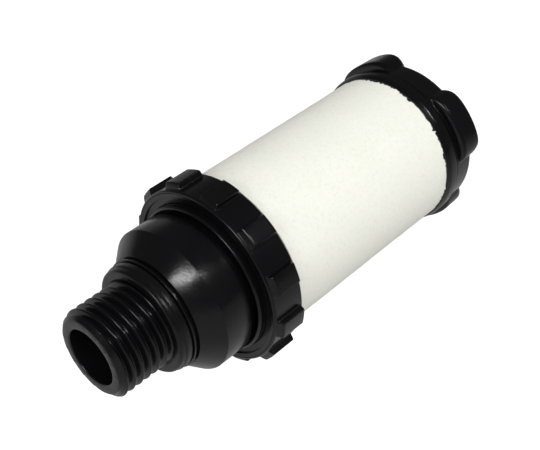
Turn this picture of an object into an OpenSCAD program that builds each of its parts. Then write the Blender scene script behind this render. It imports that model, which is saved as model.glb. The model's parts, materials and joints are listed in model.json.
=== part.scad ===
// Pneumatic muffler with a male port thread, a union collar, a porous cylinder
// and a lobed cap. The axis of the muffler is X: the port points to -X and the
// cap to +X. The origin is on the axis at the inner end of the port thread,
// where the face of the port comes to rest. Millimetres.

/* [Port thread] */
// Diameter over the thread crests (G 1/4)
thread_d = 13.157; // [10:0.001:16.6]
// Distance from crest to crest
thread_pitch = 1.337; // [0.9:0.001:1.6]
// Radial depth of the thread
thread_depth = 0.856; // [0.5:0.001:1.1]
// Length of the spigot in front of the port's face
thread_len = 8.4; // [7:0.1:14]
// Width of the flat on each crest
crest_flat = 0.24; // [0.1:0.01:0.3]
// Diameter of the air inlet through the spigot
bore_d = 8.5; // [6.5:0.1:9]

/* [Port seal] */
// Thickness of the rubber seal along the axis
seal_t = 2.25; // [1.5:0.05:3]
// How far the seal stands out past the thread crests
seal_overhang = 1.72; // [1.2:0.01:2.2]

/* [Port adapter] */
// Length of the domed shoulder
cone_len = 2.75; // [2:0.05:4]
// Length of the barrel between the shoulder and the neck
barrel_len = 4.65; // [3.5:0.05:8]
// Gap between the barrel and the front of the collar
neck_gap = 1.65; // [1.2:0.05:3]
// Depth of the neck behind the barrel
neck_depth = 0.8; // [0.4:0.05:1]
// Step from the barrel up to the rear flange
flange_step = 0.85; // [0.7:0.05:1.2]
// Thickness of the rear flange
flange_t = 0.95; // [0.8:0.05:2]
// Wall between the neck and the chamber
adapter_wall = 1; // [0.8:0.1:1.4]

/* [Lock collar] */
// Number of grip ribs
rib_count = 12; // [6:1:14]
// Height of a rib above the collar
rib_h = 0.9; // [0.4:0.05:2]
// Width of a rib, in degrees
rib_deg = 12; // [8:1:20]
// Wall of the collar round the porous cylinder
rim_wall = 1; // [0.5:0.05:1.5]
// How far the collar covers the porous cylinder
rim_cover = 0.3; // [0.2:0.05:1]
// Length of the union thread
union_len = 2.4; // [2:0.05:6]

/* [Porous cylinder] */
// Outer diameter
element_d = 25; // [21:0.1:40]
// Length
element_len = 35.1; // [24:0.1:90]
// Wall thickness
element_wall = 3; // [2:0.1:3.6]
// Thickness of the fibre sleeve inside it
absorber_t = 2.2; // [1.5:0.1:2.5]
// Thickness of the flat gasket at each end
gasket_t = 0.6; // [0.4:0.05:1.5]

/* [Support tube] */
// Wall thickness
core_wall = 0.8; // [0.5:0.1:1.2]
// Diameter of the holes
core_hole_d = 2.6; // [1.5:0.1:3]
// Rings of holes along the tube
core_rings = 6; // [3:1:8]
// Holes in each ring
core_holes = 8; // [4:2:10]

/* [Tie rod] */
// Diameter of the stud (M5)
rod_d = 5; // [4:0.5:6]
// Width across the flats of the nut
nut_af = 8; // [7:0.5:10]
// Thickness of the nut
nut_t = 4; // [3.2:0.1:5]
// Thickness of the plain washer
washer_t = 1; // [0.8:0.1:1.6]
// Thickness of the spring washer
spring_t = 1.2; // [0.8:0.1:1.6]

/* [End plate and knob] */
// How far the end plate stands out past the porous cylinder
plate_overhang = 0.55; // [0.3:0.05:2]
// Thickness of the end plate
plate_t = 2.25; // [2:0.05:4]
// Gap between the end plate and the knob
seam = 0.3; // [0.2:0.05:0.6]
// Length of the knob
knob_len = 4.7; // [4.4:0.1:10]
// Taper of the knob from front to back, on the radius
knob_taper = 1; // [0:0.05:1.2]
// Number of lobes
lobe_count = 4; // [3:1:6]
// Height of a lobe above the front of the knob
lobe_h = 1.1; // [0.8:0.05:4]
// Width of a lobe, in degrees
lobe_deg = 55; // [30:1:60]

/* [Fits] */
// Radial clearance where one piece turns on another
run_gap = 0.05; // [0.02:0.01:0.1]
// Clearance of pieces that slide past each other or only lie together
slip_gap = 0.1; // [0.05:0.01:0.2]

/* [Hidden] */

$fn = 96;
over = 1; // how far a cutting solid runs past what it cuts

// Radii, from the porous cylinder inwards
element_r = element_d / 2;
collar_r = element_r + slip_gap + rim_wall;
rib_r = collar_r + rib_h;
union_step = 0.4;
union_r = element_r - union_step;
flange_inset = 0.15;
flange_r = union_r - flange_inset;
barrel_r = flange_r - flange_step;
neck_r = barrel_r - neck_depth;
chamber_r = neck_r - adapter_wall;
ring_in_r = barrel_r + slip_gap;
nose_wall = 0.4;
nose_r = ring_in_r + nose_wall;
element_in_r = element_r - element_wall;
spigot_r = element_in_r - slip_gap;
core_r = spigot_r - absorber_t;
core_in_r = core_r - core_wall;
spigot_in_r = core_r + run_gap;

// Radii of the port
crest_r = thread_d / 2;
flank = (thread_pitch - 2 * crest_flat) / 2;
root_r = crest_r - thread_depth;
bore_r = bore_d / 2;
end_chamfer = 1.1;
end_chamfer_len = 0.5;
end_face_r = crest_r - end_chamfer;
seal_in_r = root_r + run_gap;
seal_r = crest_r + seal_overhang;
lip_step = 0.25;
lip_r = seal_r + lip_step;
lip_t = 0.25;
groove_w = 0.55;
groove_depth = 0.65;

// Places along the axis, from the port to the cap
x_end = -thread_len;
plain_lead = 1.2;
crest_count = floor((thread_len - plain_lead - crest_flat) / thread_pitch) + 1;
x_lip = seal_t;
x_shoulder = x_lip + lip_t + groove_w;
x_barrel = x_shoulder + cone_len;
x_neck = x_barrel + barrel_len;
bore_past_shoulder = -0.3;
chamber_past_barrel = 2;
x_bore = x_shoulder + bore_past_shoulder;
x_chamber = x_barrel + chamber_past_barrel;
x_collar = x_neck + neck_gap;
face_recess = 0.4;
collar_lip_t = 0.45;
ring_flange_t = 0.5;
nose_out = 0.75;
x_lip_floor = x_collar + face_recess;
x_ring_flange = x_lip_floor + collar_lip_t + run_gap;
x_flange = x_ring_flange + ring_flange_t + run_gap;
x_carrier = x_flange + flange_t + slip_gap;
x_gasket = x_carrier + union_len;
x_element = x_gasket + gasket_t;
x_collar_back = x_element + rim_cover;
x_element_back = x_element + element_len;
x_plate = x_element_back + run_gap;
x_plate_back = x_plate + plate_t;
x_knob = x_plate_back + seam;
x_knob_back = x_knob + knob_len;

// Carrier, core and tie rod
spigot_len = 4;
ledge = 0.6;
rod_r = rod_d / 2;
hub_wall = 2;
hub_r = rod_r + hub_wall;
hub_back = 1;
spokes = 4;
spoke_w = 1.6;
washer_r = rod_d;
nut_r = nut_af / sqrt(3);
x_washer = x_carrier - washer_t;
x_spring = x_washer - spring_t;
x_nut = x_spring - nut_t;
rod_past_nut = 0.8;
x_rod = x_nut - rod_past_nut;
x_core = x_gasket + slip_gap;
x_core_back = x_plate - slip_gap;
plate_spigot_len = 2;
gasket_inset = 0.2;
rod_recess = 0.4;

// O-rings
union_cord_r = 0.5;
union_ring_r = (chamber_r + flange_r) / 2;
rod_cord_r = 0.85;
rod_ring_r = rod_r + run_gap + rod_cord_r;

// End plate and knob
plate_r = element_r + plate_overhang;
knob_inset = 0.3;
knob_r = plate_r - knob_inset;
knob_back_r = knob_r - knob_taper;
lobe_r = knob_r + lobe_h;
lobe_setback = 0.5;
skirt_wall = 2.25;
boss_r = knob_r - skirt_wall;
boss_wall = 1.5;
boss_len = 1.9;
bead_h = 0.2;
bead_t = 0.4;
bead_lip = 0.5;
insert_wall = 1.5;
insert_r = rod_r + insert_wall;
knob_hub_wall = 2;
knob_hub_r = insert_r + knob_hub_wall;
knob_wall = 1.2;
knob_web_t = 1;
thrust_t = 0.5;
x_insert = x_plate_back + thrust_t + 2 * run_gap;
x_rod_back = x_knob_back - rod_recess;

// Turns the ribs and lobes to where they stand at rest
rib_start = 184.6;
lobe_start = 53;

black = [0.07, 0.07, 0.075];
rubber = [0.12, 0.12, 0.12];
white = [0.93, 0.94, 0.91];
steel = [0.66, 0.67, 0.69];

// Lays what is drawn along Z on the muffler's axis
module on_axis() {
    rotate([0, 90, 0]) children();
}

// A body of revolution from [radius, x] points
module turned(points) {
    on_axis() rotate_extrude() polygon(points);
}

// A straight tube between two places on the axis
module tube(r_out, r_in, x0, x1) {
    turned([[r_in, x0], [r_out, x0], [r_out, x1], [r_in, x1]]);
}

// A round bar between two places on the axis
module bar(r, x0, x1) {
    translate([x0, 0, 0]) on_axis() cylinder(r = r, h = x1 - x0);
}

// A rubber ring of round section
module o_ring(ring_r, cord_r, x) {
    translate([x, 0, 0]) on_axis() rotate_extrude() translate([ring_r, 0]) circle(r = cord_r);
}

// The [radius, x] corners of one thread crest whose flat ends at x
function crest(x) =
    [[root_r, x - crest_flat - flank], [crest_r, x - crest_flat], [crest_r, x], [root_r, x + flank]];

module port_adapter() {
    crests = [for (i = [crest_count - 1:-1:0]) each crest(-i * thread_pitch)];
    outside = concat(
        [[bore_r, x_end], [end_face_r, x_end], [root_r, x_end + end_chamfer_len]],
        crests,
        [[root_r, x_lip], [lip_r, x_lip], [lip_r, x_lip + lip_t],
         [lip_r - groove_depth, x_lip + lip_t], [lip_r - groove_depth, x_shoulder],
         [lip_r, x_shoulder], [barrel_r, x_barrel], [barrel_r, x_neck],
         [neck_r, x_neck], [neck_r, x_flange], [flange_r, x_flange],
         [flange_r, x_flange + flange_t]]);
    inside = [[chamber_r, x_flange + flange_t], [chamber_r, x_chamber], [bore_r, x_bore]];
    color(black) turned(concat(outside, inside));
}

module port_seal() {
    round_r = 0.7;
    steps = 6;
    front = [for (i = [0:steps])
        let (a = 90 * i / steps)
        [seal_r - round_r + round_r * sin(a), slip_gap + round_r - round_r * cos(a)]];
    color(rubber)
        turned(concat([[seal_in_r, flank + slip_gap], [crest_r + slip_gap, slip_gap]], front,
                      [[seal_r, x_lip], [seal_in_r, x_lip]]));
}

module slip_ring() {
    color(black)
        turned([[ring_in_r, x_collar - nose_out], [nose_r, x_collar - nose_out],
                [nose_r, x_ring_flange], [flange_r, x_ring_flange],
                [flange_r, x_ring_flange + ring_flange_t], [ring_in_r, x_ring_flange + ring_flange_t]]);
}

module lock_collar() {
    bevel = 0.2;
    rim_step = 0.45;
    rim_in = union_r + run_gap + rim_step;
    rear_chamfer = 0.5;
    rib_slope = 0.6;
    rib_inset = 0.35;
    rib_root_r = collar_r - bevel;
    x_rib = x_collar + rib_inset;
    x_rib_back = x_collar_back - rear_chamfer - rib_inset;
    color(black) {
        turned([[rim_in, x_collar], [collar_r - bevel, x_collar], [collar_r, x_collar + bevel],
                [collar_r, x_collar_back - rear_chamfer], [collar_r - rear_chamfer, x_collar_back],
                [element_r + slip_gap, x_collar_back],
                [element_r + slip_gap, x_element - slip_gap], [union_r + run_gap, x_element - slip_gap],
                [union_r + run_gap, x_ring_flange - run_gap], [nose_r + run_gap, x_ring_flange - run_gap],
                [nose_r + run_gap, x_lip_floor], [rim_in, x_lip_floor]]);
        for (i = [0:rib_count - 1])
            on_axis()
                rotate([0, 0, rib_start + i * 360 / rib_count - rib_deg / 2])
                rotate_extrude(angle = rib_deg)
                polygon([[rib_root_r, x_rib], [collar_r, x_rib], [rib_r, x_rib + rib_slope],
                         [rib_r, x_rib_back], [rib_root_r, x_rib_back]]);
    }
}

module union_o_ring() {
    color(rubber) o_ring(union_ring_r, union_cord_r, x_carrier - slip_gap / 2 + union_cord_r);
}

module element_carrier() {
    groove_half = union_cord_r + slip_gap;
    spigot_back = x_gasket + spigot_len;
    color(black) {
        difference() {
            turned([[spigot_in_r - ledge, x_carrier], [union_r, x_carrier], [union_r, x_gasket],
                    [spigot_r, x_gasket], [spigot_r, spigot_back], [spigot_in_r, spigot_back],
                    [spigot_in_r, x_gasket], [spigot_in_r - ledge, x_gasket]]);
            tube(union_ring_r + groove_half, union_ring_r - groove_half,
                 x_carrier - over, x_carrier + 2 * union_cord_r);
        }
        difference() {
            union() {
                bar(hub_r, x_carrier, x_gasket + hub_back);
                for (i = [0:spokes / 2 - 1])
                    rotate([i * 360 / spokes, 0, 0])
                        translate([x_carrier, -spoke_w / 2, -spigot_in_r])
                        cube([union_len, spoke_w, 2 * spigot_in_r]);
            }
            bar(rod_r, x_carrier - over, x_gasket + hub_back + over);
        }
    }
}

module rod_washer() {
    color(steel) tube(washer_r, rod_r + slip_gap, x_washer, x_carrier);
}

module lock_washer() {
    slot = 0.5;
    slot_turn = 20;
    inset = 0.8;
    color(steel) difference() {
        tube(washer_r - inset, rod_r + slip_gap, x_spring, x_washer);
        rotate([slot_turn, 0, 0])
            translate([x_spring - over, rod_r - over, -slot / 2])
            cube([spring_t + 2 * over, washer_r, slot]);
    }
}

module rod_nut() {
    color(steel) difference() {
        translate([x_nut, 0, 0]) on_axis() cylinder(r = nut_r, h = nut_t, $fn = 6);
        bar(rod_r, x_nut - over, x_spring + over);
    }
}

module front_gasket() {
    color(rubber) tube(union_r, element_in_r, x_gasket, x_element);
}

module core_tube() {
    margin = 2.5;
    first = x_core + spigot_len + margin;
    last = x_core_back - plate_spigot_len - margin;
    step = (last - first) / (core_rings - 1);
    color(black) difference() {
        tube(core_r, core_in_r, x_core, x_core_back);
        for (ring = [0:core_rings - 1], i = [0:core_holes - 1])
            translate([first + ring * step, 0, 0])
                rotate([(i + (ring % 2) / 2) * 360 / core_holes, 0, 0])
                translate([0, 0, core_in_r - over])
                cylinder(d = core_hole_d, h = core_wall + 2 * over, $fn = 20);
    }
}

module absorber_sleeve() {
    color("gainsboro")
        tube(spigot_r, core_r + run_gap, x_gasket + spigot_len + slip_gap,
             x_plate - plate_spigot_len - slip_gap);
}

module porous_element() {
    color(white) tube(element_r, element_in_r, x_element, x_element_back);
}

module tie_rod() {
    bevel = 0.5;
    color(steel)
        turned([[0, x_rod], [rod_r - bevel, x_rod], [rod_r, x_rod + bevel],
                [rod_r, x_rod_back - bevel], [rod_r - bevel, x_rod_back], [0, x_rod_back]]);
}

module rear_gasket() {
    color(rubber) tube(element_r - gasket_inset, element_in_r, x_element_back, x_plate + gasket_t);
}

module end_plate() {
    edge = 0.35;
    steps = 6;
    x_boss = x_plate_back + boss_len;
    x_bead = x_plate_back + seam + bead_lip + slip_gap;
    neck = boss_r - bead_h;
    recess_r = element_r - gasket_inset + run_gap;
    front_edge = [for (i = [0:steps])
        let (a = 90 * i / steps)
        [plate_r - edge + edge * sin(a), x_plate + edge - edge * cos(a)]];
    color(black) difference() {
        turned(concat(
            [[rod_r + run_gap, x_plate], [spigot_in_r, x_plate], [spigot_in_r, x_plate - plate_spigot_len],
             [spigot_r, x_plate - plate_spigot_len], [spigot_r, x_plate], [spigot_r, x_plate + gasket_t],
             [recess_r, x_plate + gasket_t], [recess_r, x_plate]],
            front_edge,
            [[plate_r, x_plate_back], [neck, x_plate_back], [neck, x_bead], [boss_r, x_bead],
             [boss_r, x_bead + bead_t], [neck, x_bead + bead_t], [neck, x_boss],
             [neck - boss_wall, x_boss], [neck - boss_wall, x_plate_back], [rod_r + run_gap, x_plate_back]]));
        bar(rod_ring_r + rod_cord_r + run_gap, x_plate - over, x_plate + 2 * rod_cord_r);
    }
}

module rod_o_ring() {
    color(rubber) o_ring(rod_ring_r, rod_cord_r, x_plate + rod_cord_r);
}

module thrust_washer() {
    color(steel)
        tube(insert_r + 1, rod_r + slip_gap, x_plate_back + run_gap, x_plate_back + run_gap + thrust_t);
}

// Radius of the lobed outline at an angle: a flat-topped hump in the middle of each
// pitch, and just under the knob's own surface between the humps
lobe_valley_r = knob_back_r - 0.3;
lobe_shape = 4;
lobe_edge = 1.1;
function lobed(a) =
    let (pitch = 360 / lobe_count,
         off = min(1, abs((a % pitch) - pitch / 2) / (lobe_deg / 2)))
    lobe_valley_r + (lobe_r - lobe_valley_r) * pow(1 - pow(off, lobe_shape), lobe_edge);

module cap_knob() {
    edge = 0.35;
    front_bevel = 0.5;
    back_bevel = 0.5;
    web_root = 0.2;
    points = 120;
    x_lobe = x_knob + lobe_setback;
    x_boss_end = x_plate_back + boss_len + slip_gap;
    skirt_in = boss_r - bead_h + run_gap;
    bead_in = boss_r + run_gap;
    x_bead = x_plate_back + seam + bead_lip;
    color(black) {
        difference() {
            union() {
                turned([[insert_r, x_knob], [knob_r, x_knob], [knob_back_r, x_knob_back - edge],
                        [knob_back_r - edge, x_knob_back], [insert_r, x_knob_back]]);
                intersection() {
                    translate([x_lobe, 0, 0]) on_axis()
                        linear_extrude(height = x_knob_back - x_lobe)
                        polygon([for (i = [0:points - 1])
                            let (a = i * 360 / points, r = lobed(a), b = a + lobe_start - 180 / lobe_count)
                            [r * cos(b), r * sin(b)]]);
                    turned([[insert_r, x_lobe], [lobe_r - front_bevel, x_lobe],
                            [lobe_r + slip_gap, x_lobe + front_bevel],
                            [lobe_r + slip_gap, x_knob_back - back_bevel],
                            [lobe_r - back_bevel, x_knob_back], [insert_r, x_knob_back]]);
                }
            }
            tube(skirt_in, knob_hub_r, x_knob - over, x_knob_back - knob_wall);
            tube(bead_in, skirt_in - over, x_bead, x_bead + bead_t + 2 * slip_gap);
            bar(knob_hub_r + run_gap, x_knob - over, x_insert);
        }
        for (i = [0:lobe_count - 1])
            rotate([lobe_start + i * 360 / lobe_count, 0, 0])
                translate([x_boss_end, knob_hub_r - web_root, -knob_web_t / 2])
                cube([x_knob_back - knob_wall - x_boss_end + web_root,
                      skirt_in - knob_hub_r + 2 * web_root, knob_web_t]);
    }
}

module knob_insert() {
    color("goldenrod") tube(insert_r, rod_r + run_gap, x_insert, x_knob_back);
}

port_adapter();
port_seal();
slip_ring();
lock_collar();
union_o_ring();
element_carrier();
rod_washer();
lock_washer();
rod_nut();
front_gasket();
core_tube();
absorber_sleeve();
porous_element();
tie_rod();
rear_gasket();
end_plate();
rod_o_ring();
thrust_washer();
cap_knob();
knob_insert();
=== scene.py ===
import json
import math

import bmesh
import bpy
import numpy as np
from mathutils import Matrix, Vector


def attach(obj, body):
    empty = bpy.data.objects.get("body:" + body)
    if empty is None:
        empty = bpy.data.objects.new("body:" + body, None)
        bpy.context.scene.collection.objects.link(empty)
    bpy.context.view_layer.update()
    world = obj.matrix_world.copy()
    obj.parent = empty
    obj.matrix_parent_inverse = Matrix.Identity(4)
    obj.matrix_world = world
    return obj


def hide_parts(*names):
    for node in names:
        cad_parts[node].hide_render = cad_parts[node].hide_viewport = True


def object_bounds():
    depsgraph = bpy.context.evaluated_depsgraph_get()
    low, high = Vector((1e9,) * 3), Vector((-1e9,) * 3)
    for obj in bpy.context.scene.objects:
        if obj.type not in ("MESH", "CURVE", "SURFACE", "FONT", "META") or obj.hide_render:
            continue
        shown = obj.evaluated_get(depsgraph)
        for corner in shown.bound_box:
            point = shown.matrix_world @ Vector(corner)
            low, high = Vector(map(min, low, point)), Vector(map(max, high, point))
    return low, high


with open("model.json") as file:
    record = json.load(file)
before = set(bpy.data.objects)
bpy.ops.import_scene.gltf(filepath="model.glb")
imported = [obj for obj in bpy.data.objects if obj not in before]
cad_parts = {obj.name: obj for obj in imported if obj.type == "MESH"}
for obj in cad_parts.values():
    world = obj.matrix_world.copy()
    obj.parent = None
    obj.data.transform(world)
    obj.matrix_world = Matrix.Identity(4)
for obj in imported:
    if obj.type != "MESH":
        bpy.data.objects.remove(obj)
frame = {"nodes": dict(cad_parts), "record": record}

cad_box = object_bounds()


# Camera: on the port's side of the muffler, looking down on it at 41 degrees, with a
# long lens that keeps the far cap nearly as large as the near thread.
lens = bpy.data.cameras.new("camera")
lens.sensor_width = 36
lens.lens = 67.254
lens.clip_start = 0.01
camera = bpy.data.objects.new("camera", lens)
camera.location = (-0.0566025, -0.0766237, 0.0983549)
camera.rotation_euler = (math.radians(90 - 40.8358), 0, math.radians(-47.068))
bpy.context.scene.collection.objects.link(camera)
bpy.context.scene.camera = camera
bpy.context.scene.view_settings.view_transform = "Standard"


# Floor: a table of opal acrylic lit from below, as studios use for small goods, so that it
# stays pale and takes hardly any shadow. The muffler stands on its collar's lowest rib.
def linear(hex_colour):
    """An sRGB hex colour as linear red, green, blue and alpha: each channel c becomes
    c / 12.92 below 0.04045 and ((c + 0.055) / 1.055) ** 2.4 above it."""
    c = np.array([int(hex_colour[i:i + 2], 16) for i in (1, 3, 5)]) / 255
    c = np.where(c <= 0.04045, c / 12.92, ((c + 0.055) / 1.055) ** 2.4)
    return (*c.tolist(), 1.0)


def node(tree, kind, values=None, links=None, **settings):
    """Adds one node, sets its own settings and its inputs' values, and links its inputs."""
    made = tree.nodes.new(kind)
    for name, value in settings.items():
        setattr(made, name, value)
    for name, value in (values or {}).items():
        made.inputs[name].default_value = value
    for name, socket in (links or {}).items():
        tree.links.new(socket, made.inputs[name])
    return made


def new_material(name):
    """An empty node material and its node tree."""
    material = bpy.data.materials.new(name)
    material.use_nodes = True
    material.node_tree.nodes.clear()
    return material, material.node_tree


def faded(tree, fades):
    """The product of several eased steps. Each goes from its first strength to its last
    while its coordinate goes from a start to an end."""
    product = None
    for coordinate, ease, start, end, first, last in fades:
        step = node(tree, "ShaderNodeMapRange",
                    {"From Min": start, "From Max": end, "To Min": first, "To Max": last},
                    {"Value": coordinate}, interpolation_type=ease)
        value = step.outputs["Result"]
        if product is not None:
            value = node(tree, "ShaderNodeMath", {}, {0: product, 1: value},
                         operation="MULTIPLY").outputs["Value"]
        product = value
    return product


floor_z = cad_box[0].z
table_size = 3.0
table = bpy.data.meshes.new("light_table")
table.from_pydata(
    [(-table_size, -table_size, floor_z), (table_size, -table_size, floor_z),
     (table_size, table_size, floor_z), (-table_size, table_size, floor_z)],
    [], [(0, 1, 2, 3)])
table_object = bpy.data.objects.new("light_table", table)
bpy.context.scene.collection.objects.link(table_object)
table_material, tree = new_material("opal_acrylic_lit_from_below")
glow_on_things, glow_seen = 0.40, 1.0
path = node(tree, "ShaderNodeLightPath")
place = node(tree, "ShaderNodeTexCoord")
across = node(tree, "ShaderNodeSeparateXYZ", links={"Vector": place.outputs["Object"]})
corner = node(tree, "ShaderNodeMath", {}, {0: across.outputs["X"], 1: across.outputs["Y"]},
              operation="ADD")
# In reflections the lit field is dim, goes dark in front, and fades off the port's corner
# and behind the muffler.
gloss = faded(tree, [
    (across.outputs["Y"], "SMOOTHSTEP", -0.10, -0.01, 0.0, 0.26),
    (corner.outputs["Value"], "SMOOTHSTEP", -0.035, 0.005, 0.3, 1.0),
    (across.outputs["Y"], "SMOOTHSTEP", 0.06, 0.25, 1.0, 0.3)])
seen = node(tree, "ShaderNodeMix", {2: glow_on_things, 3: glow_seen},
            {0: path.outputs["Is Camera Ray"]})
glow = node(tree, "ShaderNodeMix", {},
            {0: path.outputs["Is Glossy Ray"], 2: seen.outputs[0], 3: gloss})
board = node(tree, "ShaderNodeBsdfPrincipled", {
    "Base Color": linear("#7c7c7c"), "Roughness": 0.9, "Specular IOR Level": 0.0,
    "Emission Color": linear("#ffffff")}, {"Emission Strength": glow.outputs[0]})
node(tree, "ShaderNodeOutputMaterial", links={"Surface": board.outputs["BSDF"]})
table.materials.append(table_material)


# Light: a long soft box on the port's side, a broad overhead fill that leaves no highlight,
# and a small lamp over the right shoulder. The room is pale low down and dark overhead.
muffler_middle = np.array([0.015, 0, 0])


def softbox(name, direction, distance, width, height, power, seen_in_gloss=True):
    """A rectangular light that stands off the muffler's middle and faces it."""
    light = bpy.data.lights.new(name, "AREA")
    light.shape = "RECTANGLE"
    light.size, light.size_y, light.energy = width, height, power
    made = bpy.data.objects.new(name, light)
    away = np.array(direction) / np.linalg.norm(direction)
    across = np.cross([0, 0, 1], away)
    across /= np.linalg.norm(across)
    up = np.cross(away, across)
    turn = np.eye(4)
    turn[:3, :3] = np.stack([across, up, away], 1)
    turn[:3, 3] = muffler_middle + away * distance
    made.matrix_world = Matrix(turn.tolist())
    made.visible_glossy = seen_in_gloss
    bpy.context.scene.collection.objects.link(made)


softbox("port_side_box", (-0.828, -0.13, 0.541), 0.6, 0.18, 0.05, 0.6)
softbox("overhead_fill", (-0.35, -0.50, 0.85), 0.9, 0.9, 0.7, 5.6, seen_in_gloss=False)
softbox("shoulder_lamp", (0.26, -0.53, 0.80), 0.7, 0.05, 0.04, 0.7)

room_on_things, room_seen, room_darkest = 0.35, 1.0, 0.055
world = bpy.data.worlds.new("studio_room")
world.use_nodes = True
tree = world.node_tree
tree.nodes.clear()
sky = node(tree, "ShaderNodeTexCoord")
way = node(tree, "ShaderNodeSeparateXYZ", links={"Vector": sky.outputs["Generated"]})
# In reflections the room darkens upwards, towards the front, and at both ends.
gloss = faded(tree, [
    (way.outputs["Z"], "SMOOTHERSTEP", 0.02, 0.45, 0.26, 0.06),
    (way.outputs["Y"], "SMOOTHSTEP", -0.5, 0.3, 0.06, 1.0),
    (way.outputs["X"], "SMOOTHSTEP", -0.35, 0.3, 0.1, 1.0),
    (way.outputs["X"], "SMOOTHSTEP", 0.5, 0.8, 1.0, 0.3)])
gloss = node(tree, "ShaderNodeMath", {1: room_darkest}, {0: gloss}, operation="MAXIMUM")
path = node(tree, "ShaderNodeLightPath")
seen = node(tree, "ShaderNodeMix", {2: room_on_things, 3: room_seen},
            {0: path.outputs["Is Camera Ray"]})
glow = node(tree, "ShaderNodeMix", {},
            {0: path.outputs["Is Glossy Ray"], 2: seen.outputs[0], 3: gloss.outputs["Value"]})
shine = node(tree, "ShaderNodeBackground", {"Color": (1, 1, 1, 1)}, {"Strength": glow.outputs[0]})
node(tree, "ShaderNodeOutputWorld", links={"Surface": shine.outputs["Background"]})
bpy.context.scene.world = world


# Port adapter: the moulded black nylon body with the male port thread, the shoulder
# behind the seal, the barrel, and the flange that the union collar pulls on.
MM = 0.001
TURN = 2 * math.pi


def rounded(corners, arc_points=5):
    """A closed [x, r] outline from rows of [x, r, fillet]. Each corner becomes an arc that
    touches both sides: its centre lies on the bisector at fillet / sin(half the angle),
    and its points are the start and end radii blended by the sines of the angles to them."""
    corners = np.asarray(corners, float)
    here, fillet = corners[:, :2], corners[:, 2:]
    back = np.roll(here, 1, 0) - here
    on = np.roll(here, -1, 0) - here
    back /= np.linalg.norm(back, axis=1, keepdims=True)
    on /= np.linalg.norm(on, axis=1, keepdims=True)
    half = np.arccos(np.clip((back * on).sum(1, keepdims=True), -0.99999, 0.99999)) / 2
    middle = back + on
    middle /= np.maximum(np.linalg.norm(middle, axis=1, keepdims=True), 1e-9)
    centre = here + middle * fillet / np.sin(half)
    start = here + back * fillet / np.tan(half) - centre
    end = here + on * fillet / np.tan(half) - centre
    sweep = (math.pi - 2 * half)[:, None]
    t = np.linspace(0, 1, arc_points)[None, :, None]
    arc = np.sin((1 - t) * sweep) * start[:, None] + np.sin(t * sweep) * end[:, None]
    outline = (centre[:, None] + arc / np.sin(sweep)).reshape(-1, 2)
    step = np.linalg.norm(outline - np.roll(outline, 1, 0), axis=1)
    return outline[step > 1e-6]


def starting_at(outline, x, r):
    """The same closed outline, begun at its point nearest to [x, r]."""
    first = int(np.argmin(np.hypot(*(outline - [x, r]).T)))
    return np.roll(outline, -first, 0)


def grid_faces(rows, columns, close_rows, close_columns=True):
    """Quads between neighbouring rows and columns of a grid of points, row by row."""
    i = np.arange(rows if close_rows else rows - 1)[:, None]
    j = np.arange(columns if close_columns else columns - 1)[None, :]
    i2, j2 = (i + 1) % rows, (j + 1) % columns
    corners = [i * columns + j, i2 * columns + j, i2 * columns + j2, i * columns + j2]
    return np.stack(corners, -1).reshape(-1, 4)


def around(x, r, a):
    """Points [x, r cos a, r sin a] of radii r at places x along the axis and angles a."""
    points = np.broadcast_arrays(x + 0 * a, r * np.cos(a), r * np.sin(a))
    return np.stack(points, -1).reshape(-1, 3)


def lathe(outline, columns=192, closed=True):
    """The points of an [x, r] outline turned about X, and the quads between them, with the
    outline's two ends joined if it is closed."""
    a = np.linspace(0, TURN, columns, endpoint=False)
    points = around(outline[:, :1], outline[:, 1:], a)
    return points, grid_faces(len(outline), columns, closed)


def joined(*parts):
    """Several (points, faces) pairs as one."""
    offsets = np.cumsum([0] + [len(points) for points, _ in parts[:-1]])
    faces = [face for (_, own), offset in zip(parts, offsets)
             for face in (np.asarray(own) + offset).tolist()]
    return np.concatenate([points for points, _ in parts]), faces


def piece(name, shape, body, material, stands_for, sharp=35):
    """Makes a mesh object from (points, faces) in millimetres: doubles merged, faces turned
    outwards, smooth but for edges sharper than the given angle. It rides on its body."""
    points, faces = shape
    mesh = bpy.data.meshes.new(name)
    mesh.from_pydata((points * MM).tolist(), [], [list(face) for face in faces])
    work = bmesh.new()
    work.from_mesh(mesh)
    bmesh.ops.remove_doubles(work, verts=work.verts, dist=2e-7)
    bmesh.ops.dissolve_degenerate(work, edges=work.edges, dist=2e-7)
    bmesh.ops.recalc_face_normals(work, faces=work.faces)
    work.to_mesh(mesh)
    work.free()
    mesh.polygons.foreach_set("use_smooth", np.ones(len(mesh.polygons), bool))
    mesh.set_sharp_from_angle(angle=math.radians(sharp))
    mesh.materials.append(material)
    made = bpy.data.objects.new(name, mesh)
    bpy.context.scene.collection.objects.link(made)
    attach(made, body)
    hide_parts(*stands_for)


def helix_grid(x0, x1, pitch, radius_at, columns, rows_per_pitch):
    """A thread's surface between two places on the axis. Rows follow the helix, so row k at
    angle a lies at x = k pitch / rows + pitch a / turn, held between x0 and x1, and its
    radius is radius_at(x, distance to the nearest crest line)."""
    turns = int(math.ceil((x1 - x0) / pitch)) + 1
    k = np.arange(-rows_per_pitch, turns * rows_per_pitch + 1)[:, None]
    a = np.linspace(0, TURN, columns, endpoint=False)[None, :]
    x = np.clip(x0 + k * pitch / rows_per_pitch + pitch * a / TURN, x0, x1)
    phase = (x - pitch * a / TURN - x0) / pitch
    off = np.abs((phase + 0.5) % 1 - 0.5) * pitch
    points = around(x, radius_at(x, off), a)
    rows = len(k)
    inner = grid_faces(rows, columns, False, False)
    i = np.arange(rows - rows_per_pitch - 1)
    seam = np.stack([i * columns + columns - 1, (i + 1) * columns + columns - 1,
                     (i + 1 + rows_per_pitch) * columns, (i + rows_per_pitch) * columns], -1)
    return points, np.concatenate([inner, seam])


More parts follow.
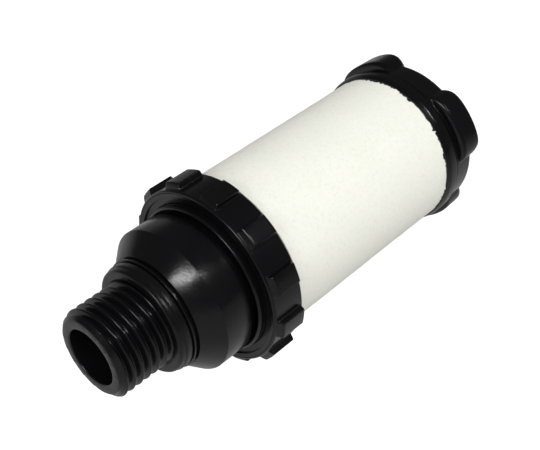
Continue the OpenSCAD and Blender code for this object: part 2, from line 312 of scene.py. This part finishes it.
def black_nylon(name, grain_mm, grain_depth):
    """Glass-filled nylon 66, injection moulded in a polished tool: a deep black with a wet
    gloss, broken by a faint stipple from the fibres, and a little duller in places."""
    material, tree = new_material(name)
    place = node(tree, "ShaderNodeTexCoord")
    stipple = node(tree, "ShaderNodeTexNoise",
                   {"Scale": 1 / (grain_mm * MM), "Detail": 3.0, "Roughness": 0.6},
                   {"Vector": place.outputs["Object"]})
    flow = node(tree, "ShaderNodeTexNoise",
                {"Scale": 1 / (6 * MM), "Detail": 4.0, "Roughness": 0.65},
                {"Vector": place.outputs["Object"]})
    dull = node(tree, "ShaderNodeMapRange",
                {"From Min": 0.35, "From Max": 0.7, "To Min": 0.17, "To Max": 0.27},
                {"Value": flow.outputs["Fac"]})
    tint = node(tree, "ShaderNodeMix", {6: linear("#08080a"), 7: linear("#0d0d0f")},
                {0: flow.outputs["Fac"]}, data_type="RGBA")
    bump = node(tree, "ShaderNodeBump", {"Strength": 0.5, "Distance": grain_depth * MM},
                {"Height": stipple.outputs["Fac"]})
    shader = node(tree, "ShaderNodeBsdfPrincipled", {"IOR": 1.53},
                  {"Base Color": tint.outputs[2], "Roughness": dull.outputs["Result"],
                   "Normal": bump.outputs["Normal"]})
    node(tree, "ShaderNodeOutputMaterial", links={"Surface": shader.outputs["BSDF"]})
    return material


# The real stipple is near 0.1 mm: it is drawn at 0.35 mm so that it shows.
nylon = black_nylon("nylon_66_moulded_gloss_black", 0.35, 0.03)

port_columns = 256
crest_radius, root_radius, thread_pitch = 6.5785, 5.7225, 1.337
port_end_x, thread_top_x = -8.4, 0.9
end_face_radius = 5.50
bore_radius = 4.25
flank_slope = 1.921
lead_rise, lead_slope = 0.12, 1.15
run_out_x, run_out_length = 0.75, 0.55


def port_thread_radius(x, off):
    """Parallel pipe thread with 55 degree flanks and round crests and roots: the radius falls
    by 1.92 for each millimetre from a crest, and bends over smoothly at half the depth. A
    lead cone holds it down at the front, and it runs out to the root under the seal."""
    depth = crest_radius - root_radius
    swing = flank_slope * (thread_pitch / 4 - off) / (depth / 2)
    r = root_radius + depth / 2 * (1 + swing / (1 + np.abs(swing) ** 5) ** 0.2)
    r = np.minimum(r, end_face_radius + lead_rise + (x - port_end_x) * lead_slope)
    r = np.where(x <= port_end_x, end_face_radius, r)
    run_out = np.clip((run_out_x - x) / run_out_length, 0, 1)
    return root_radius + (r - root_radius) * np.where(x > 0, run_out, 1)


thread = helix_grid(port_end_x, thread_top_x, thread_pitch, port_thread_radius, port_columns, 16)
port_outline = rounded([
    [thread_top_x, root_radius, 0], [2.25, root_radius, 0], [2.25, 8.5, 0.06],
    [2.5, 8.5, 0.06], [2.5, 7.9, 0.08], [3.05, 7.9, 0.08], [3.05, 8.6, 0.06],
    [5.8, 11.1, 0.14], [10.45, 11.1, 0.3], [10.45, 10.3, 0.1], [13.55, 10.3, 0.1],
    [13.55, 11.95, 0.1], [14.5, 11.95, 0.12], [14.5, 9.3, 0.2], [7.8, 9.3, 0.4],
    [2.75, bore_radius, 0.6], [port_end_x, bore_radius, 0.22],
    [port_end_x, end_face_radius, 0]])
port_rest = lathe(starting_at(port_outline, thread_top_x, root_radius), port_columns,
                  closed=False)
piece("port_adapter_moulding", joined(thread, port_rest), "port", nylon,
      ["port_adapter"])


# Port seal: a moulded nitrile rubber ring, pushed over the thread against the shoulder.
# Its front edge is rounded, and a low bead runs round it behind that edge.
def nitrile_rubber(name):
    """Nitrile rubber, compression moulded: black with a soft broad sheen, faintly mottled
    by the talc it is packed with."""
    material, tree = new_material(name)
    place = node(tree, "ShaderNodeTexCoord")
    talc = node(tree, "ShaderNodeTexNoise",
                {"Scale": 1 / (1.5 * MM), "Detail": 5.0, "Roughness": 0.7},
                {"Vector": place.outputs["Object"]})
    tint = node(tree, "ShaderNodeMix", {6: linear("#070708"), 7: linear("#0c0c0d")},
                {0: talc.outputs["Fac"]}, data_type="RGBA")
    dull = node(tree, "ShaderNodeMapRange",
                {"From Min": 0.3, "From Max": 0.7, "To Min": 0.26, "To Max": 0.34},
                {"Value": talc.outputs["Fac"]})
    pores = node(tree, "ShaderNodeTexNoise", {"Scale": 1 / (0.25 * MM), "Detail": 2.0},
                 {"Vector": place.outputs["Object"]})
    bump = node(tree, "ShaderNodeBump", {"Strength": 0.4, "Distance": 0.006 * MM},
                {"Height": pores.outputs["Fac"]})
    shader = node(tree, "ShaderNodeBsdfPrincipled", {"IOR": 1.52},
                  {"Base Color": tint.outputs[2], "Roughness": dull.outputs["Result"],
                   "Normal": bump.outputs["Normal"]})
    node(tree, "ShaderNodeOutputMaterial", links={"Surface": shader.outputs["BSDF"]})
    return material


rubber = nitrile_rubber("nitrile_rubber_moulded_black")
seal_outline = rounded([
    [0.1, 6.8, 0.1], [0.1, 8.02, 0.5], [0.9, 8.1, 0.12], [1.2, 8.28, 0.3],
    [2.2, 8.28, 0.3], [2.2, 5.78, 0], [0.56, 5.78, 0]])
piece("port_seal_ring", lathe(seal_outline), "port", rubber, ["port_seal"])


# Slip ring: a thin nylon bush between the turning collar and the adapter. Its nose
# stands out of the collar, and its flange takes the collar's pull.
slip_outline = rounded([
    [11.35, 11.2, 0.02], [11.35, 11.6, 0.36], [12.95, 11.6, 0.05], [12.95, 11.95, 0.05],
    [13.5, 11.95, 0.05], [13.5, 11.2, 0.05]])
piece("slip_ring_moulding", lathe(slip_outline), "thrust_ring", nylon,
      ["slip_ring"])


# Lock collar: the moulded nylon union nut. Twelve grip ribs slope up from its front
# face and stop short of the back, where a thin skirt reaches over the white cylinder.
rib_count, rib_width_deg, rib_first_deg = 12, 12.2, 94.6
collar_radius, rib_radius = 13.72, 14.65
collar_front_x, rib_front_x, rib_full_x = 12.1, 12.45, 13.05
rib_back_x, rear_x, skirt_end_x = 17.05, 17.4, 17.9
front_fillet, rear_lip = 0.35, 0.03
rib_side_softness, rib_back_softness, rear_softness = 0.09, 0.08, 0.06


def edge_step(distance, soft):
    """Rises from 0 to 1 across an edge: half of 1 + tanh of the distance over the softness."""
    return 0.5 + 0.5 * np.tanh(distance / soft)


def collar_mesh():
    """The collar's outline turned about X, with columns gathered at the ribs' edges. Outside,
    a rib adds its height times a rise along X that flattens out, 1 - (1 - t) to the power
    of 1.5, times a step at its back and at each side. Behind the ribs the outside tapers
    in at 45 degrees."""
    pitch = 360 / rib_count
    half = rib_width_deg / 2
    gap = pitch - half
    clear_of_edge = 1.4
    offsets = np.array([0.012, 0.035, 0.065, 0.1, 0.16, 0.28])
    edge_deg = np.degrees(np.concatenate([-offsets[::-1], offsets]) / rib_radius)
    on_rib = np.linspace(-half + clear_of_edge, half - clear_of_edge, 8)
    between = np.linspace(half + clear_of_edge, gap - clear_of_edge, 10)
    one = np.concatenate([on_rib, half + edge_deg, between, gap + edge_deg])
    a_deg = (rib_first_deg + np.arange(rib_count)[:, None] * pitch + one).ravel()
    off = np.abs((a_deg - rib_first_deg + pitch / 2) % pitch - pitch / 2)
    a = np.radians(a_deg)
    x_out = np.concatenate([
        [12.1, 12.11, 12.15, 12.2, 12.28, 12.4, 12.48], np.linspace(12.52, 12.64, 5),
        np.linspace(12.7, 13.2, 12), [13.3, 13.5], np.linspace(14, 16.6, 6),
        rib_back_x + np.array([-0.25, -0.15, -0.08, -0.03, 0.03, 0.08, 0.15]),
        [17.28, 17.36, 17.4, 17.43, 17.5, 17.6, 17.7, 17.8, 17.86, 17.89, 17.9]])[:, None]
    front = np.clip((x_out - collar_front_x) / front_fillet, 0, 1)
    base = collar_radius - front_fillet * (1 - np.sqrt(1 - (1 - front) ** 2))
    behind = x_out - rear_x
    base = base - np.maximum(0, behind) - rear_lip * edge_step(behind, rear_softness)
    ramp = np.clip((x_out - rib_front_x) / (rib_full_x - rib_front_x), 0, 1)
    along = (1 - (1 - ramp) ** 1.5) * edge_step(rib_back_x - x_out, rib_back_softness)
    across = edge_step(np.radians(half - off) * rib_radius, rib_side_softness)
    r_out = base + (rib_radius - collar_radius) * along * across
    # The last two corners stand for the outside, which is made above, and are left out.
    inside = starting_at(rounded([
        [skirt_end_x, 12.6, 0.05], [17.5, 12.6, 0], [17.5, 12.16, 0], [13.0, 12.16, 0],
        [13.0, 11.66, 0], [12.5, 11.66, 0.06], [12.5, 12.62, 0.05],
        [collar_front_x, 12.62, 0.08], [collar_front_x, 13.3, 0], [skirt_end_x, 13.05, 0]]),
        skirt_end_x, 12.6)[:-2]
    x = np.concatenate([x_out, inside[:, :1]])
    r = np.concatenate([r_out, inside[:, 1:] + 0 * a])
    return around(x, r, a), grid_faces(len(x), len(a), True)


piece("lock_collar_moulding", collar_mesh(), "collar", nylon, ["lock_collar"])


# Porous cylinder: sintered polyethylene beads, cut to length from a long tube. The cut
# leaves a ragged burr round its far end, and the bead surface is matt and off white.
element_front_x, element_back_x = 17.6, 52.7
element_radius, element_bore = 12.5, 9.5
burr_reach, burr_height = 0.35, 0.38


def lattice(u, v, cells_u, cells_v, seed):
    """Smooth random heights: a grid of random numbers that repeats round u, blended
    between its corners with the 3 t t - 2 t t t ease."""
    table = np.random.default_rng(seed).uniform(-1, 1, (cells_u, cells_v + 2))
    pu, pv = u * cells_u, v * cells_v
    iu, iv = np.floor(pu).astype(int), np.clip(np.floor(pv).astype(int), 0, cells_v)
    fu, fv = pu - iu, pv - iv
    fu, fv = fu * fu * (3 - 2 * fu), fv * fv * (3 - 2 * fv)
    a, b = table[iu % cells_u, iv], table[(iu + 1) % cells_u, iv]
    c, d = table[iu % cells_u, iv + 1], table[(iu + 1) % cells_u, iv + 1]
    return (a * (1 - fu) + b * fu) * (1 - fv) + (c * (1 - fu) + d * fu) * fv


def element_mesh():
    """A tube whose outside is the radius plus small random heights, and whose far edge is
    a burr: cubed random spikes stand out of it, and chips are taken from its radius and
    its length, all growing over the last 0.35 mm."""
    u = np.linspace(0, 1, 640, endpoint=False)[None, :]
    near_end = np.array([0.5, 0.4, 0.3, 0.22, 0.15, 0.09, 0.04, 0.0])
    x = np.concatenate([[17.6, 17.65, 17.8], np.linspace(18.2, 52.0, 70),
                        element_back_x - near_end])[:, None]
    v = (x - element_front_x) / (element_back_x - element_front_x)
    wave = 0.02 * lattice(u, v, 40, 18, 3) + 0.012 * lattice(u, v, 160, 72, 4)
    burr = np.clip(1 - (element_back_x - x) / burr_reach, 0, 1)
    patches = np.maximum(0, 0.4 + lattice(u, 0 * v, 37, 1, 8))
    spikes = np.maximum(0, lattice(u, 0 * v, 300, 1, 5)) ** 3 * patches
    chips = np.maximum(0, lattice(u, 0 * v, 190, 1, 6) - 0.25) * 0.35
    front_edge = 0.06 * np.clip(1 - (x - element_front_x) / 0.1, 0, 1)
    r = element_radius + wave + burr ** 2 * (burr_height * spikes - chips * 0.5) - front_edge
    x = x - burr * chips
    inside = np.array([[52.68, 12.1], [52.68, 9.6], [52.6, element_bore],
                       [17.7, element_bore], [element_front_x, 9.6]])
    x_all = np.concatenate([x, inside[:, :1] + 0 * u])
    r_all = np.concatenate([r, inside[:, 1:] + 0 * u])
    return around(x_all, r_all, TURN * u), grid_faces(len(x_all), u.size, True)


def sintered_polyethylene(name):
    """Sintered polyethylene: fused beads about a third of a millimetre across, a matt warm
    white that is never quite even, with tiny darker pores."""
    material, tree = new_material(name)
    place = node(tree, "ShaderNodeTexCoord")
    beads = node(tree, "ShaderNodeTexVoronoi", {"Scale": 1 / (0.3 * MM), "Randomness": 1.0},
                 {"Vector": place.outputs["Object"]}, feature="F1")
    pores = node(tree, "ShaderNodeTexNoise",
                 {"Scale": 1 / (0.5 * MM), "Detail": 4.0, "Roughness": 0.65},
                 {"Vector": place.outputs["Object"]})
    cloud = node(tree, "ShaderNodeTexNoise",
                 {"Scale": 1 / (7 * MM), "Detail": 5.0, "Roughness": 0.6},
                 {"Vector": place.outputs["Object"]})
    warm = node(tree, "ShaderNodeMix", {6: linear("#edeee2"), 7: linear("#f3f3ea")},
                {0: cloud.outputs["Fac"]}, data_type="RGBA")
    pore_dark = node(tree, "ShaderNodeMapRange",
                     {"From Min": 0.3, "From Max": 0.5, "To Min": 0.93, "To Max": 1.0},
                     {"Value": pores.outputs["Fac"]})
    grained = node(tree, "ShaderNodeMix", {0: 1.0},
                   {6: warm.outputs[2], 7: pore_dark.outputs["Result"]},
                   data_type="RGBA", blend_type="MULTIPLY")
    height = node(tree, "ShaderNodeMath", {1: 0.8},
                  {0: beads.outputs["Distance"], 2: pores.outputs["Fac"]},
                  operation="MULTIPLY_ADD")
    bump = node(tree, "ShaderNodeBump", {"Strength": 0.35, "Distance": 0.05 * MM},
                {"Height": height.outputs["Value"]})
    shader = node(tree, "ShaderNodeBsdfPrincipled",
                  {"Roughness": 0.85, "IOR": 1.5, "Specular IOR Level": 0.2},
                  {"Base Color": grained.outputs[2], "Normal": bump.outputs["Normal"]})
    node(tree, "ShaderNodeOutputMaterial", links={"Surface": shader.outputs["BSDF"]})
    return material


porous_white = sintered_polyethylene("polyethylene_sintered_off_white")
piece("porous_cylinder", element_mesh(), "silencer", porous_white,
      ["porous_element"], sharp=60)


# End plate: a moulded nylon disc that closes the cylinder's far end on a rubber gasket.
# A spigot centres it, and a snap boss on its back holds the knob, which turns on it.
plate_outline = rounded([
    [52.75, 2.55, 0], [52.75, 7.25, 0], [50.75, 7.25, 0.1], [50.75, 9.4, 0.3],
    [52.75, 9.4, 0], [53.35, 9.4, 0], [53.35, 12.35, 0], [52.75, 12.35, 0.08],
    [52.75, 12.7, 0.06], [53.5, 13.0, 0.9], [55.0, 13.05, 0.3], [55.0, 10.3, 0.1],
    [55.9, 10.3, 0.05], [55.9, 10.5, 0.1], [56.3, 10.5, 0.1], [56.3, 10.3, 0.05],
    [56.9, 10.3, 0.1], [56.9, 8.8, 0.1], [55.0, 8.8, 0.2], [55.0, 2.55, 0.1],
    [54.45, 2.55, 0], [54.45, 5.1, 0], [52.751, 5.1, 0]])
piece("end_plate_moulding", lathe(plate_outline[::-1]), "cap_plate", nylon,
      ["end_plate"])


# Cap knob: the moulded nylon hand knob that clamps the stack on the tie rod. Four broad
# lobes give the fingers a grip, and its back is dished round a boss with a brass insert.
lobe_count, lobe_first_deg, lobe_width_deg = 4, 53.0, 53.5
knob_front_radius, knob_back_radius = 12.75, 12.45
lobe_front_radius, lobe_back_radius, lobe_lean = 13.95, 13.8, 0.25
knob_front_x, knob_back_x, lobe_front_x, lobe_run_in = 55.3, 60.0, 55.8, 0.6
front_edge_round, body_back_round, lobe_back_round = 0.12, 1.3, 0.15


def round_rise(t):
    """Rises from 0 to 1 as a quarter circle does: the root of 1 - (1 - t) (1 - t)."""
    t = np.clip(t, 0, 1)
    return np.sqrt(1 - (1 - t) ** 2)


def knob_mesh():
    """The knob's tapered side, which rounds off broadly at the back, plus four humps. A
    hump's height is a flat-topped curve round the axis, 1 - off ** 6, times a quarter
    circle's rise at its front, and its top leans over a little. It keeps a sharp back edge.
    The back face is the outline of its rim, dish and boss, turned about X."""
    a = np.linspace(0, TURN, 480, endpoint=False)[None, :]
    pitch = 360 / lobe_count
    off = (np.degrees(a) - lobe_first_deg + pitch / 2) % pitch - pitch / 2
    off = np.clip(off / (lobe_width_deg / 2), -1, 1)
    hump = 1 - np.abs(off) ** 6
    quarter = math.pi / 2
    x = np.concatenate([
        knob_front_x + np.array([0.0, 0.02, 0.06, 0.12, 0.3, 0.44]),
        lobe_front_x + lobe_run_in * (1 - np.cos(np.linspace(0, quarter, 9)[1:])),
        np.linspace(56.7, 58.6, 6),
        knob_back_x - body_back_round * np.cos(np.linspace(0.15, 1.4, 12)),
        knob_back_x - lobe_back_round + lobe_back_round * np.sin(np.linspace(0, quarter, 8)),
    ])[:, None]
    from_front, from_back = x - knob_front_x, knob_back_x - x
    t = from_front / (knob_back_x - knob_front_x)
    body = knob_front_radius + (knob_back_radius - knob_front_radius) * t
    body = body - front_edge_round * (1 - round_rise(from_front / front_edge_round))
    body = body - body_back_round * (1 - round_rise(from_back / body_back_round))
    top = lobe_front_radius + (lobe_back_radius - lobe_front_radius) * t + lobe_lean * off
    top = top - lobe_back_round * (1 - round_rise(from_back / lobe_back_round))
    r = body + hump * (top - body) * round_rise((x - lobe_front_x) / lobe_run_in)
    # The last corner stands for the side, which is made above, and is left out.
    back = starting_at(rounded([
        [knob_back_x, 11.3, 0], [knob_back_x, 10.6, 0.25], [59.45, 10.2, 0.3],
        [59.45, 6.6, 0.3], [knob_back_x, 6.2, 0.25], [knob_back_x, 4.0, 0.12],
        [55.6, 4.0, 0.1], [55.6, 6.0, 0.1], [58.8, 6.0, 0.2], [58.8, 10.35, 0.2],
        [56.4, 10.35, 0], [56.4, 10.55, 0], [lobe_front_x, 10.55, 0],
        [lobe_front_x, 10.35, 0], [knob_front_x, 10.35, 0.1],
        [knob_front_x, 12.7, 0], [57.0, 30.0, 0]]), knob_back_x, 11.3)[:-1]
    x_all = np.concatenate([x, back[:, :1]])
    r_all = np.concatenate([r, back[:, 1:] + 0 * a])
    return around(x_all, r_all, a), grid_faces(len(x_all), a.size, True)


piece("cap_knob_moulding", knob_mesh(), "knob", nylon, ["cap_knob"])


# Knob insert: a turned brass bush with an M5 thread, moulded into the knob. It comes flush
# with the knob's boss, and its mouth is countersunk for the tie rod.
def turned_brass(name):
    """Free-cutting brass, turned: bright yellow with fine rings round the axis."""
    material, tree = new_material(name)
    place = node(tree, "ShaderNodeTexCoord")
    split = node(tree, "ShaderNodeSeparateXYZ", links={"Vector": place.outputs["Object"]})
    yz = node(tree, "ShaderNodeCombineXYZ",
              links={"Y": split.outputs["Y"], "Z": split.outputs["Z"]})
    radius = node(tree, "ShaderNodeVectorMath", links={0: yz.outputs["Vector"]},
                  operation="LENGTH")
    rings = node(tree, "ShaderNodeTexNoise", {"Scale": 1 / (0.12 * MM), "Detail": 2.0},
                 {"W": radius.outputs["Value"]}, noise_dimensions="1D")
    stain = node(tree, "ShaderNodeTexNoise", {"Scale": 1 / (2 * MM), "Detail": 4.0},
                 {"Vector": place.outputs["Object"]})
    tint = node(tree, "ShaderNodeMix", {6: linear("#b98f45"), 7: linear("#d8b56a")},
                {0: stain.outputs["Fac"]}, data_type="RGBA")
    bump = node(tree, "ShaderNodeBump", {"Strength": 0.3, "Distance": 0.01 * MM},
                {"Height": rings.outputs["Fac"]})
    shader = node(tree, "ShaderNodeBsdfPrincipled", {"Metallic": 1.0, "Roughness": 0.28},
                  {"Base Color": tint.outputs[2], "Normal": bump.outputs["Normal"]})
    node(tree, "ShaderNodeOutputMaterial", links={"Surface": shader.outputs["BSDF"]})
    return material


brass = turned_brass("brass_turned_bright")
insert_outline = rounded([
    [55.6, 2.7, 0], [55.6, 3.9, 0.15], [60.0, 3.95, 0.12], [60.0, 3.0, 0.03],
    [59.6, 2.55, 0], [55.75, 2.55, 0]])
piece("knob_insert_brass", lathe(insert_outline[::-1], 96), "knob", brass,
      ["knob_insert"])


# Tie rod: a length of zinc-plated M5 studding from the nut inside the port to the knob.
# It is cut to length, and both ends are bevelled so that the nut and the knob will start.
def zinc_plate(name):
    """Zinc-plated steel with a clear passivate: a cool mid grey, bright but clouded."""
    material, tree = new_material(name)
    place = node(tree, "ShaderNodeTexCoord")
    cloud = node(tree, "ShaderNodeTexNoise",
                 {"Scale": 1 / (1.2 * MM), "Detail": 5.0, "Roughness": 0.65},
                 {"Vector": place.outputs["Object"]})
    tint = node(tree, "ShaderNodeMix", {6: linear("#a9adb0"), 7: linear("#c9cbcb")},
                {0: cloud.outputs["Fac"]}, data_type="RGBA")
    dull = node(tree, "ShaderNodeMapRange",
                {"From Min": 0.3, "From Max": 0.7, "To Min": 0.24, "To Max": 0.4},
                {"Value": cloud.outputs["Fac"]})
    fine = node(tree, "ShaderNodeTexNoise", {"Scale": 1 / (0.2 * MM), "Detail": 2.0},
                {"Vector": place.outputs["Object"]})
    bump = node(tree, "ShaderNodeBump", {"Strength": 0.25, "Distance": 0.01 * MM},
                {"Height": fine.outputs["Fac"]})
    shader = node(tree, "ShaderNodeBsdfPrincipled", {"Metallic": 1.0},
                  {"Base Color": tint.outputs[2], "Roughness": dull.outputs["Result"],
                   "Normal": bump.outputs["Normal"]})
    node(tree, "ShaderNodeOutputMaterial", links={"Surface": shader.outputs["BSDF"]})
    return material


zinc = zinc_plate("steel_zinc_plated_clear")
rod_front_x, rod_back_x, rod_pitch, rod_columns = 7.6, 59.6, 0.8, 40
rod_radius, rod_root, rod_end_radius = 2.5, 2.01, 1.95


def rod_thread_radius(x, off):
    """Metric thread on a 5 mm stud: the radius falls by 1.73 for each millimetre from a
    crest, down to the root, and a 45 degree bevel holds it down at both ends."""
    r = np.clip(rod_radius - (off - 0.05) * 1.73, rod_root, rod_radius)
    return np.minimum(r, rod_end_radius + np.minimum(x - rod_front_x, rod_back_x - x))


rod_thread = helix_grid(rod_front_x, rod_back_x, rod_pitch, rod_thread_radius, rod_columns, 8)
rod_ends = around(np.array([[rod_front_x], [rod_back_x]]), rod_end_radius,
                  np.arange(rod_columns) * TURN / rod_columns)
ring = np.arange(rod_columns)
rod_caps = (rod_ends, [ring[::-1].tolist(), (ring + rod_columns).tolist()])
piece("tie_rod_studding", joined(rod_thread, rod_caps), "silencer", zinc,
      ["tie_rod"])


# Inside pieces: these keep their drawn shapes, which are plain turned, cut or moulded
# rings and tubes, and take the finish of what they are made of.
def pressed_fibre(name):
    """Pressed polyester felt: soft white, with fibres lying every way."""
    material, tree = new_material(name)
    place = node(tree, "ShaderNodeTexCoord")
    fibres = node(tree, "ShaderNodeTexNoise",
                  {"Scale": 1 / (0.4 * MM), "Detail": 6.0, "Distortion": 1.5},
                  {"Vector": place.outputs["Object"]})
    tint = node(tree, "ShaderNodeMix", {6: linear("#cfcfc8"), 7: linear("#efefea")},
                {0: fibres.outputs["Fac"]}, data_type="RGBA")
    bump = node(tree, "ShaderNodeBump", {"Strength": 0.6, "Distance": 0.1 * MM},
                {"Height": fibres.outputs["Fac"]})
    shader = node(tree, "ShaderNodeBsdfPrincipled", {"Roughness": 0.95, "Sheen Weight": 0.3},
                  {"Base Color": tint.outputs[2], "Normal": bump.outputs["Normal"]})
    node(tree, "ShaderNodeOutputMaterial", links={"Surface": shader.outputs["BSDF"]})
    return material


felt = pressed_fibre("polyester_felt_pressed_white")
finish_of = {"black_nylon": nylon, "nitrile_rubber": rubber, "white_fibre": felt,
             "zinc_steel": zinc}
slot_of = {part["node"]: part["material_slot"] for part in frame["record"]["subparts"]}
for inside in ("element_carrier", "core_tube", "union_o_ring", "front_gasket", "rear_gasket",
               "rod_o_ring", "absorber_sleeve", "rod_washer", "lock_washer", "rod_nut",
               "thrust_washer"):
    for holder in frame["nodes"][inside].material_slots:
        holder.material = finish_of[slot_of[inside]]
